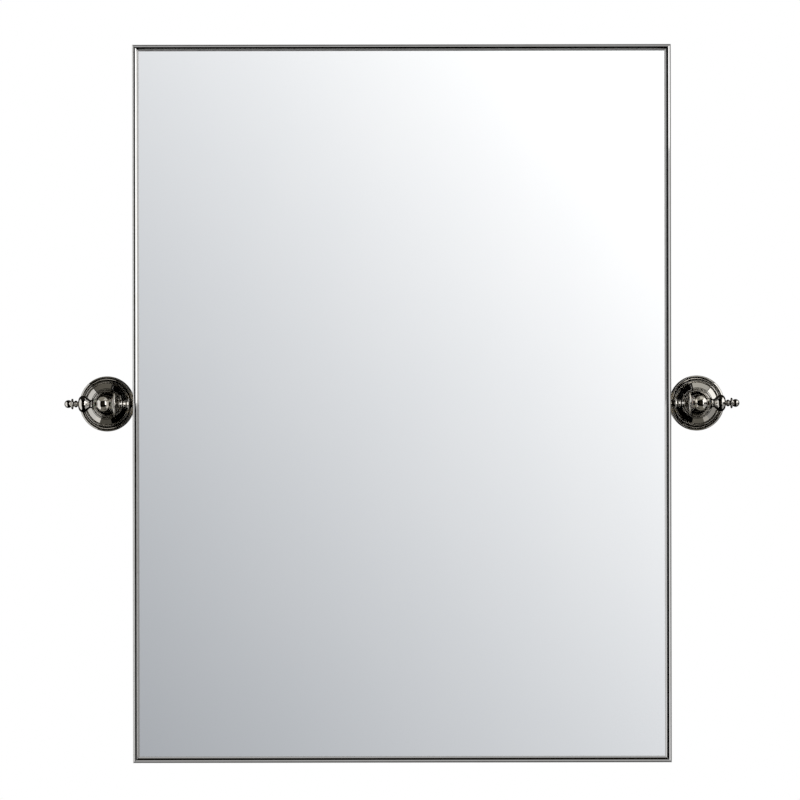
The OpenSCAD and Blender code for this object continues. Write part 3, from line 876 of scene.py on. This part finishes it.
def make_pivot_pieces():
    nickel, nylon = ("polished_nickel", NICKEL), ("nylon", NYLON)
    for label, side in SIDES.items():
        collar, disc, inner, outer = (size_mm(f"{label}_{kind}") for kind in (
            "beaded_collar", "shoulder_disc", "inner_washer", "outer_washer"))
        # node, name of the made piece, outline, body, slot and material
        for kind, name, outline, body, look in (
            ("beaded_collar", "collar_turning", collar_outline(collar.x), "mirror", nickel),
            ("shoulder_disc", "disc_turning", disc_outline(disc.x, disc.y / 2), "mirror", nickel),
            ("inner_washer", "inner_washer_ring", washer_outline(inner.x, inner.y / 2),
             "mirror", nylon),
            ("outer_washer", "outer_washer_ring", washer_outline(outer.x, outer.y / 2),
             f"{label}_clamp_washer", nylon),
            ("finial", "finial_turning", finial_outline(), f"{label}_finial_nut", nickel),
        ):
            node = f"{label}_{kind}"
            piece = turned(f"{label}_{name}", outline, on_pivot(side, start_of(node)))
            finish_piece(piece, node, body, *look)


def make_hubs():
    for label, side in SIDES.items():
        node = f"{label}_ball_hub"
        low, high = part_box(node)
        length, ball, back = (high.x - low.x) / MM, high.z / MM, high.y / MM - PIVOT
        place = on_pivot(side, start_of(node))
        hub = turned(f"{label}_hub_turning", hub_outline(length, ball), place)
        combine(hub, "UNION", turned(
            "neck", neck_outline(back),
            lambda height, across, up: (side * POST + across, PIVOT + height, up), 96,
        ))
        bore = plug(HUB_BORE, -OVERCUT, length + OVERCUT)
        combine(hub, "DIFFERENCE", turned("clear", bore, place))
        finish_piece(hub, node, "wall_mounts", "polished_nickel", NICKEL)


make_pivot_pieces()
make_hubs()

# ---- Turned pieces on the wall ----


def rosette_outline(radius, height):
    """Rolled rim, small bead, sloping band, two rising beads and the seat for the post."""
    cavity_r, cavity_h, hole = 20.3, 5.3, 2.6
    rim, rim_h, groove_h = 2.45, 2.8, 4.625
    small, small_h = 0.95, 5.1
    groove = 0.5
    band_w, band_h = 6.0, 4.4
    inner, step, seat = 1.15, 1.5, 10.1
    rim_in = radius - 2 * rim
    small_r = rim_in - groove - small
    band_r = small_r - small - groove
    band_top = small_h + band_h
    bead_r, bead_h = band_r - band_w - groove - inner, band_top + inner / 2
    last_r, last_h = bead_r - 2 * inner, bead_h + step
    rim_end = 180 - math.degrees(math.asin((groove_h - rim_h) / rim))
    small_start = math.degrees(math.asin((groove_h - small_h) / small))
    bead_start = math.degrees(math.asin((band_top - bead_h) / inner))
    outline = [(cavity_r, cavity_h), (cavity_r, 0), (radius, 0)]
    outline += arc(radius - rim, rim_h, rim, 0, rim_end, 22)
    outline += arc(small_r, small_h, small, small_start, 180, 14)
    outline += [(band_r, small_h), (band_r - band_w, band_top)]
    outline += arc(bead_r, bead_h, inner, bead_start, 180, 14)
    outline += [(last_r, bead_h)]
    outline += arc(last_r, last_h, inner, -90, 180, 20)
    outline += [(seat, last_h), (seat, height), (hole, height), (hole, cavity_h)]
    return eased(outline, 0.18)


def post_outline(seat_h, hub_back):
    """Base ring, hollow flare, tapering shaft, ring, neck and tenon, bored for its screw."""
    bore, deep, tenon, tenon_len = 2.53, 11.0, 2.9, 5.4
    base_len, base, flare, shaft, tip = 3.0, 9.6, 3.0, 5.6, 4.4
    ring_back, ring_len, ring_r = 2.0, 2.6, 6.4
    flare_at = seat_h + base_len
    ring_at = hub_back - ring_back - ring_len
    tenon_end = hub_back + tenon_len
    start = 270 - math.degrees(math.asin((shaft + flare - (base - base_len / 2)) / flare))
    outline = [(0, seat_h + deep), (bore, seat_h + deep), (bore, seat_h)]
    outline += ring(bore + 1, seat_h, base_len, base, 16)[1:-1]
    outline += arc(shaft + flare, flare_at + flare, flare, start, 180, 12)
    outline += [(tip, ring_at)]
    outline += ring(tip, ring_at, ring_len, ring_r, 16)
    outline += [(tip, hub_back), (tenon, hub_back), (tenon, tenon_end), (0, tenon_end)]
    return eased(outline)


def make_wall_pieces():
    for label, side in SIDES.items():
        low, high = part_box(f"{label}_rosette")
        radius, height = (high.z - low.z) / 2 / MM, -low.y / MM
        outline = rosette_outline(radius, height)
        rosette = turned(f"{label}_rosette_turning", outline, on_wall(side), 192)
        combine(rosette, "DIFFERENCE", turned(
            "hole", plug(SET_SCREW, 0, SET_SCREW_LONG), lambda h, across, up: (
                side * POST + across, up - SET_SCREW_OUT, -SET_SCREW_DOWN - h), 40))
        finish_piece(rosette, f"{label}_rosette", "wall_mounts", "polished_nickel", NICKEL)
        hub_back = -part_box(f"{label}_ball_hub")[1].y / MM
        post = turned(f"{label}_post_turning", post_outline(height, hub_back), on_wall(side))
        finish_piece(post, f"{label}_post", "wall_mounts", "polished_nickel", NICKEL)


make_wall_pieces()


def make_bumpers():
    """Four clear domed dots on the back of the stiles."""
    low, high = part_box("wall_bumpers")
    thick = high.y / MM - BACK
    side_h, crown, rounding = thick * 0.45, BUMPER * 0.62, 1.0
    outline = [(0, 0), (BUMPER, 0), (BUMPER, side_h), (crown, thick), (0, thick)]
    dome = eased(outline, rounding, 20, 6)
    form = bmesh.new()
    for x in (low.x / MM + BUMPER, high.x / MM - BUMPER):
        for z in (low.z / MM + BUMPER, high.z / MM - BUMPER):
            dot = turned("dot", dome, lambda h, a, u: (x + a, BACK + h, z + u), 40)
            form.from_mesh(dot.data)
            bpy.data.objects.remove(dot)
    bumpers = new_piece("bumper_dots", mesh_from("bumper_dots", form))
    finish_piece(bumpers, "wall_bumpers", "mirror", "clear_bumper", CLEAR_RUBBER)


make_bumpers()

# ---- CAD pieces that keep their shape ----

FINISH_OF_SLOT = {
    "polished_nickel": NICKEL, "mirror_glass": SILVERED, "backing_board": HARDBOARD, "foam": FOAM,
    "zinc_steel": ZINC_STEEL, "spring_steel": SPRING_STEEL, "black_steel": BLACK_STEEL,
    "brass": BRASS, "bronze": BRONZE, "nylon": NYLON, "clear_bumper": CLEAR_RUBBER,
}
for row in frame["record"]["subparts"]:
    for place in frame["nodes"][row["node"]].material_slots:
        place.material = FINISH_OF_SLOT[row["material_slot"]]

# ---- Studio ----
# Every light is a sheet that the camera doesn't see and that lights only the pieces whose node
# names end as listed, because polished metal shows what it mirrors and little else.

BALLS = ("_ball_hub", "_shoulder_disc")
TURNINGS = ("_beaded_collar", "_finial", "_post", "_washer", "_rod", "_bush", "_set_screws")
ON_PIVOT = BALLS + TURNINGS
PLATES = "_rosette"
LEFT_PLATE, RIGHT_PLATE, PANE = "left_rosette", "right_rosette", "_pane"
BACK_PIECES = ("_key", "key_screws", "post_screws", "_strips", "_board", "_clips", "_bumpers")
BLOCKS = ("_block", "block_screws", "_rod", "_bracket", "_rosette")

SOFT_WHITE = (1.0, 0.995, 0.98)
COOL_WHITE = (0.965, 0.99, 1.04)
CEILING_WHITE = (1.0, 1.0, 0.96)
PALE_BLUE = (0.93, 0.96, 1.0)
OLIVE = (1.0, 0.95, 0.82)
BROWN = (1.0, 0.86, 0.6)
FLOOR_Z, FLOOR_HALF = -1.45, 6.0
CARD_STEPS = 80


def pieces(endings):
    """Every piece, made or kept, whose node name ends in one of these."""
    kept = {name: node for name, node in frame["nodes"].items() if name not in MADE}
    return [piece for name, piece in {**kept, **MADE}.items() if name.endswith(endings)]


def bare_tree(owner):
    owner.use_nodes = True
    owner.node_tree.nodes.clear()
    return owner.node_tree


def bare_material(name):
    material = bpy.data.materials.new(name)
    return material, bare_tree(material)


def glow_material(name, colour, strength):
    """A glow that can be seen through, so that sheets in front of each other add up."""
    material, tree = bare_material(name)
    glow = result(tree, "ShaderNodeEmission", {"Color": (*colour, 1), "Strength": strength})
    clear = result(tree, "ShaderNodeBsdfTransparent")
    both = result(tree, "ShaderNodeAddShader", {0: glow, 1: clear})
    add_node(tree, "ShaderNodeOutputMaterial", {"Surface": both})
    return material


def stage_sheet(name, form, material):
    """A sheet of the stage, its faces left the way they were drawn."""
    mesh = bpy.data.meshes.new(name)
    form.to_mesh(mesh)
    form.free()
    mesh.materials.append(material)
    sheet = new_piece(name, mesh)
    return sheet


def light_sheet(name, form, material, receivers):
    """A sheet of light that the camera doesn't see and that reaches only the receivers."""
    sheet = stage_sheet(name, form, material)
    sheet.visible_camera = False
    sheet.visible_shadow = False
    group = bpy.data.collections.new(f"lit_by_{name}")
    for receiver in receivers:
        group.objects.link(receiver)
    sheet.light_linking.receiver_collection = group


def flat(corners):
    form = bmesh.new()
    form.faces.new([form.verts.new(corner) for corner in corners])
    return form


def panel(name, corners, strength, lit, colour=SOFT_WHITE):
    """A flat light panel through its corners."""
    light_sheet(name, flat(corners), glow_material(name, colour, strength), pieces(lit))


# Corners of panels: at the side, above or below, and in front or behind.


def upright(x, y0, y1, z0, z1):
    return [(x, y0, z0), (x, y1, z0), (x, y1, z1), (x, y0, z1)]


def level(z, x0, x1, y0, y1):
    return [(x0, y0, z), (x1, y0, z), (x1, y1, z), (x0, y1, z)]


def facing(y, half, z0, z1):
    return [(-half, y, z0), (half, y, z0), (half, y, z1), (-half, y, z1)]


def slanting(shift):
    """Corners of a panel that runs from the right side into the room."""
    near, far = (1.02 + shift, -0.98), (2.2 + shift, -3.6)
    return [(*near, -0.35), (*far, -1.2), (*far, 3.2), (*near, 1.1)]


def half_disc(radius, z, steps=48):
    """The front half of a disc, at one z."""
    turns = [math.pi * step / steps for step in range(steps + 1)]
    return [(radius * math.cos(turn), -radius * math.sin(turn), z) for turn in turns]


# Name, corners, strength, the pieces lit and the colour. No two are in the same plane.
PANELS = (
    ("left_softbox", upright(-1.0, -0.95, 0.07, -1.41, 0.68), 1.0, ON_PIVOT),
    ("left_wall_light", upright(-1.03, -0.95, 0.30, -1.41, 0.68), 0.8, PLATES),
    ("right_softbox_high", upright(1.0, -0.94, 0.07, 0.12, 1.05), 1.5, ON_PIVOT),
    ("right_softbox_low", upright(1.0, -0.94, 0.07, -1.41, -0.12), 0.4, ON_PIVOT),
    ("right_wall_light_high", upright(1.03, -0.94, 0.28, 0.12, 0.68), 1.4, PLATES),
    ("right_wall_light_low", upright(1.03, -0.94, 0.28, -1.41, -0.12), 0.36, PLATES),
    ("brown_room", facing(-4.3, 1.6, -1.4, 2.2), 0.018, ON_PIVOT, BROWN),
    ("front_softbox", slanting(0.0), 2.1, ON_PIVOT),
    ("front_wall_light", slanting(0.03), 1.5, PLATES),
    ("top_softbox", level(1.6, 0.0, 1.3, -0.9, 0.5), 0.42, BALLS, CEILING_WHITE),
    ("top_wall_light", level(1.57, 0.0, 1.85, -0.9, 0.5), 0.42, RIGHT_PLATE, CEILING_WHITE),
    ("left_ceiling", level(2.2, -2.4, 0.1, -2.2, 1.6), 0.12, LEFT_PLATE, OLIVE),
    ("right_ceiling", level(2.15, -0.1, 2.4, -2.2, 1.6), 0.12, RIGHT_PLATE, OLIVE),
    ("ball_ceiling", level(2.25, -2.4, 2.4, -2.2, 1.6), 0.3, BALLS, OLIVE),
    ("left_ground_glow", level(-1.42, -1.6, 0.1, -1.5, 1.2), 0.09, LEFT_PLATE, OLIVE),
    ("right_ground_glow", level(-1.43, -0.1, 1.6, -1.5, 1.2), 0.14, RIGHT_PLATE, OLIVE),
    ("ball_ground_glow", level(-1.41, -1.6, 1.6, -1.5, 1.2), 0.2, BALLS, OLIVE),
    ("rear_softbox", facing(2.3, 1.6, -1.3, 1.9), 2.0, BACK_PIECES),
    ("floor_in_the_pane", half_disc(6.45, -1.44), 0.55, PANE, PALE_BLUE),
    ("dim_rear_softbox", facing(2.35, 1.6, -1.3, 1.9), 0.6, BLOCKS),
)
for row in PANELS:
    panel(*row)


def curved_sheet(name, angles, ends, material, lit, centre=(0, 0), lying=False, radius=1.0):
    """A light sheet on a circle; angle 0 is in front, positive to the right or, lying, up."""
    form = bmesh.new()
    rows = []
    for step in range(CARD_STEPS + 1):
        angle = math.radians(angles[0] + (angles[1] - angles[0]) * step / CARD_STEPS)
        across = centre[0] + radius * math.sin(angle)
        out = centre[1] - radius * math.cos(angle)
        spots = [(end, out, across) if lying else (across, out, end) for end in ends]
        rows.append([form.verts.new(spot) for spot in spots])
    for (a, b), (c, d) in zip(rows, rows[1:]):
        form.faces.new((a, c, d, b))
    light_sheet(name, form, material, lit)


def light_collars():
    """Two narrow upright cards in front of each pivot, for the sparkle on its beads."""
    strength, ends = 2.4, (-0.3, 0.55)
    for label in SIDES:
        node = f"{label}_beaded_collar"
        for number, angles in enumerate(((-46, -20), (18, 46)), 1):
            name = f"{label}_collar_card_{number}"
            glow = glow_material(name, SOFT_WHITE, strength)
            curved_sheet(name, angles, ends, glow, [MADE[node]], (middle(node).x, PIVOT * MM))


light_collars()


def light_rails():
    """Cards on a circle round each rail, which only it sees, draw the lines along it."""
    low, high, wide = -1.4, 2.4, 2.4
    # rail: for each card its two angles, its two ends along the rail and its strength
    cards_of = {
        "left_stile": (
            (-130, -50, 0, high, 0.95), (-130, -26, low, 0, 0.80), (-230, -130, low, high, 0.5),
            (28, 130, 0, high, 1.9), (62, 130, low, 0, 0.75),
            (-6.6, -2.2, 0, high, 0.62), (-6.6, -2.2, low, 0, 0.42),
        ),
        "right_stile": (
            (8, 50, low, 0.36, 1.1), (8, 50, 0.36, high, 2.2), (50, 110, low, high, 0.25),
            (110, 230, low, high, 0.6), (-10, 8, 0, high, 0.55), (0, 8, low, 0, 0.95),
            (-130, -75, low, high, 0.12),
        ),
        "top_rail": (
            (8, 44, -wide, wide, 0.62), (44, 110, -wide, wide, 0.15), (110, 230, -wide, wide, 0.6),
            (4.6, 7.2, -wide, wide, 0.32),
        ),
        "bottom_rail": (
            (-42, 16, -wide, wide, 0.55), (-110, -42, -wide, wide, 0.14),
            (-230, -110, -wide, wide, 0.6),
        ),
    }
    for rail_name, cards in cards_of.items():
        at = middle(rail_name)
        lying = rail_name.endswith("rail")
        centre = (at.z if lying else at.x, at.y)
        for number, (first, last, start, end, strength) in enumerate(cards, 1):
            name = f"{rail_name}_card_{number}"
            glow, lit = glow_material(name, COOL_WHITE, strength), [MADE[rail_name]]
            curved_sheet(name, (first, last), (start, end), glow, lit, centre, lying)


light_rails()


def make_backdrop():
    """What the pane mirrors: a wide curved card, brighter towards the top right."""
    # The display value at the middle, how fast it rises along X and Z, and its limits.
    level_at_middle, rise_x, rise_z, least, most = 0.8715, 0.1208, 0.1020, 0.58, 1.03
    # Far to the upper right it falls off again: it isn't over far_sum less the plain value.
    far_sum, far_least = 2.25, 0.80
    display_power, glass_share = 2.2, 0.95
    material, tree = bare_material("backdrop_card")
    axes = add_node(tree, "ShaderNodeSeparateXYZ", {0: object_place(tree)}).outputs
    rise = add(tree, times(tree, axes["X"], rise_x), times(tree, axes["Z"], rise_z))
    plain = add(tree, rise, level_at_middle)
    far = maths(tree, "MAXIMUM", maths(tree, "SUBTRACT", far_sum, plain), far_least)
    held = maths(tree, "MINIMUM", maths(tree, "MAXIMUM", plain, least), most)
    shade = maths(tree, "MINIMUM", held, far)
    strength = maths(tree, "DIVIDE", maths(tree, "POWER", shade, display_power), glass_share)
    warmth = ramp_between(tree, shade, 0.6, 1.0)
    tint = blend_colour(tree, warmth, (0.925, 0.970, 1.045), (1.0, 1.0, 1.01))
    glow = result(tree, "ShaderNodeEmission", {"Color": tint, "Strength": strength})
    paper = result(tree, "ShaderNodeBsdfDiffuse", {"Color": (0.035, 0.028, 0.018, 1)})
    both = result(tree, "ShaderNodeAddShader", {0: glow, 1: paper})
    add_node(tree, "ShaderNodeOutputMaterial", {"Surface": both})
    curved_sheet("backdrop", (-100, 100), (FLOOR_Z, 9.0), material, pieces(PANE), radius=6.5)


make_backdrop()


def camera_sees(tree, others, camera):
    """One shader for rays from the camera, and the other for all other rays."""
    path = add_node(tree, "ShaderNodeLightPath").outputs["Is Camera Ray"]
    return result(tree, "ShaderNodeMixShader", {0: path, 1: others, 2: camera})


def make_floor():
    """A plain pale floor below the mirror, seen only from above."""
    material, tree = bare_material("pale_floor")
    paint = result(tree, "ShaderNodeBsdfDiffuse", {"Color": (0.10, 0.096, 0.085, 1)})
    pale = result(tree, "ShaderNodeEmission", {"Color": (0.93, 0.93, 0.92, 1), "Strength": 0.8})
    from_above = camera_sees(tree, paint, pale)
    below = add_node(tree, "ShaderNodeNewGeometry").outputs["Backfacing"]
    clear = result(tree, "ShaderNodeBsdfTransparent")
    both = result(tree, "ShaderNodeMixShader", {0: below, 1: from_above, 2: clear})
    add_node(tree, "ShaderNodeOutputMaterial", {"Surface": both})
    corners = level(FLOOR_Z, -FLOOR_HALF, FLOOR_HALF, -FLOOR_HALF, FLOOR_HALF)
    stage_sheet("floor", flat(corners), material)


make_floor()


def make_surroundings():
    """White behind everything for the camera; a dim warm room, lighter above, for the rest."""
    world = bpy.data.worlds.new("studio")
    bpy.context.scene.world = world
    tree = bare_tree(world)
    way = add_node(tree, "ShaderNodeTexCoord").outputs["Generated"]
    up = add_node(tree, "ShaderNodeSeparateXYZ", {0: way}).outputs["Z"]
    steep = ramp_between(tree, up, 0.25, 0.75)
    dim = blend_colour(tree, steep, (0.006, 0.005, 0.004), (0.014, 0.012, 0.010))
    room = result(tree, "ShaderNodeBackground", {"Color": dim, "Strength": 1.0})
    white = result(tree, "ShaderNodeBackground", {"Color": (1, 1, 1, 1), "Strength": 1.0})
    add_node(tree, "ShaderNodeOutputWorld", {"Surface": camera_sees(tree, room, white)})
    bpy.context.scene.view_settings.view_transform = "Standard"


make_surroundings()

# ---- The end ----

bpy.context.view_layer.update()
